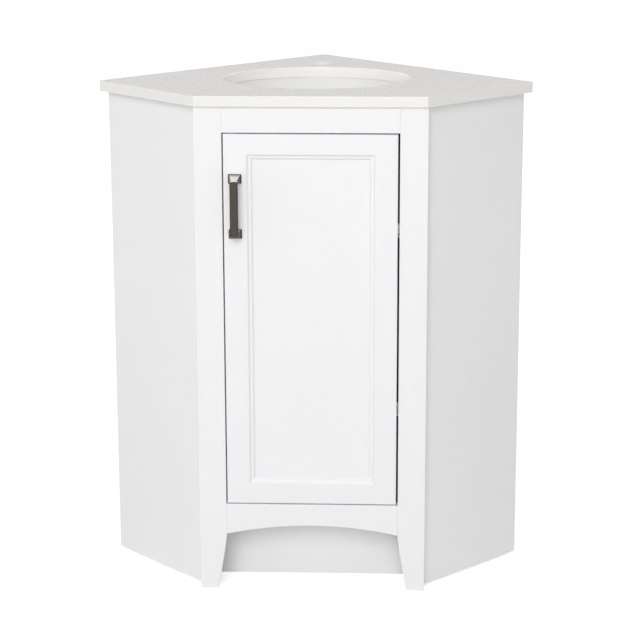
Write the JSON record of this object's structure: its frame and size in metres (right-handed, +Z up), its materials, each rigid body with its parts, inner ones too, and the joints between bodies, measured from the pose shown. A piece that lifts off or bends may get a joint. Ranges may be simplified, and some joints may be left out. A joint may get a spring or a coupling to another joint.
{
  "type": "corner vanity unit",
  "caption": "Five-sided bathroom corner cabinet with stone top, oval undermount basin, moulded-frame inset door on concealed hinges and a bar pull.",
  "frame": {"origin": "on the floor under the middle of the whole unit's bounding box", "axes": "+X to the right seen from the front, +Y back into the room's corner, +Z up; the door and pull face -Y"},
  "size_m": [0.7706, 0.5942, 0.89],
  "materials": {
    "white_paint": "satin white paint on wood",
    "stone_top": "honed pale stone",
    "porcelain": "gloss white glaze",
    "dark_nickel": "dark brushed nickel",
    "nickel_plate": "nickel plate",
    "white_plastic": "matt moulded plastic",
    "clear_rubber": "soft clear elastomer"
  },
  "bodies": {
    "cabinet": {"countertop": "stone_top", "basin": "porcelain", "basin_clips": "nickel_plate", "basin_clip_screws": "nickel_plate", "face_stile_left": "white_paint", "face_stile_right": "white_paint", "face_top_rail": "white_paint", "face_bottom_rail": "white_paint", "side_panel_left": "white_paint", "side_panel_right": "white_paint", "nailer_left": "white_paint", "nailer_right": "white_paint", "back_rail_left": "white_paint", "back_rail_right": "white_paint", "corner_post": "white_paint", "floor_deck": "white_paint", "deck_cleat": "white_paint", "toe_kick": "white_paint", "hinge_strip": "white_paint", "stop_strip": "white_paint", "corner_braces": "white_paint", "glides": "white_plastic", "door_bumpers": "clear_rubber", "hinge_plate_lower": "nickel_plate", "hinge_plate_upper": "nickel_plate", "hinge_plate_screws": "nickel_plate", "hinge_arm_lower": "nickel_plate", "hinge_arm_upper": "nickel_plate", "hinge_arm_screws": "nickel_plate"},
    "inner_links": {"hinge_inner_link_lower": "nickel_plate", "hinge_inner_link_upper": "nickel_plate"},
    "outer_links": {"hinge_outer_link_lower": "nickel_plate", "hinge_outer_link_upper": "nickel_plate"},
    "door": {"door_stile_left": "white_paint", "door_stile_right": "white_paint", "door_top_rail": "white_paint", "door_bottom_rail": "white_paint", "door_panel": "white_paint", "door_pull": "dark_nickel", "pull_screws": "nickel_plate", "hinge_cup_lower": "nickel_plate", "hinge_cup_upper": "nickel_plate", "hinge_cup_screws": "nickel_plate"}
  },
  "joints": [
    {"name": "inner_link_swing", "type": "hinge", "parent": "cabinet", "child": "inner_links", "pos_m": [0.1355, -0.23608, 0.493], "axis": [0, 0, 1], "range_deg": [-16.9, 0]},
    {"name": "door_swing", "type": "hinge", "parent": "inner_links", "child": "door", "pos_m": [0.137, -0.25758, 0.493], "axis": [0, 0, 1], "range_deg": [0, 112]},
    {"name": "outer_link_swing", "type": "hinge", "parent": "cabinet", "child": "outer_links", "pos_m": [0.115, -0.24008, 0.493], "axis": [0, 0, 1], "range_deg": [-40.5, 0]}
  ],
  "couplings": [
    {"joint": "inner_link_swing", "follows": "door_swing", "ratio": -0.15},
    {"joint": "outer_link_swing", "follows": "door_swing", "ratio": -0.36}
  ]
}
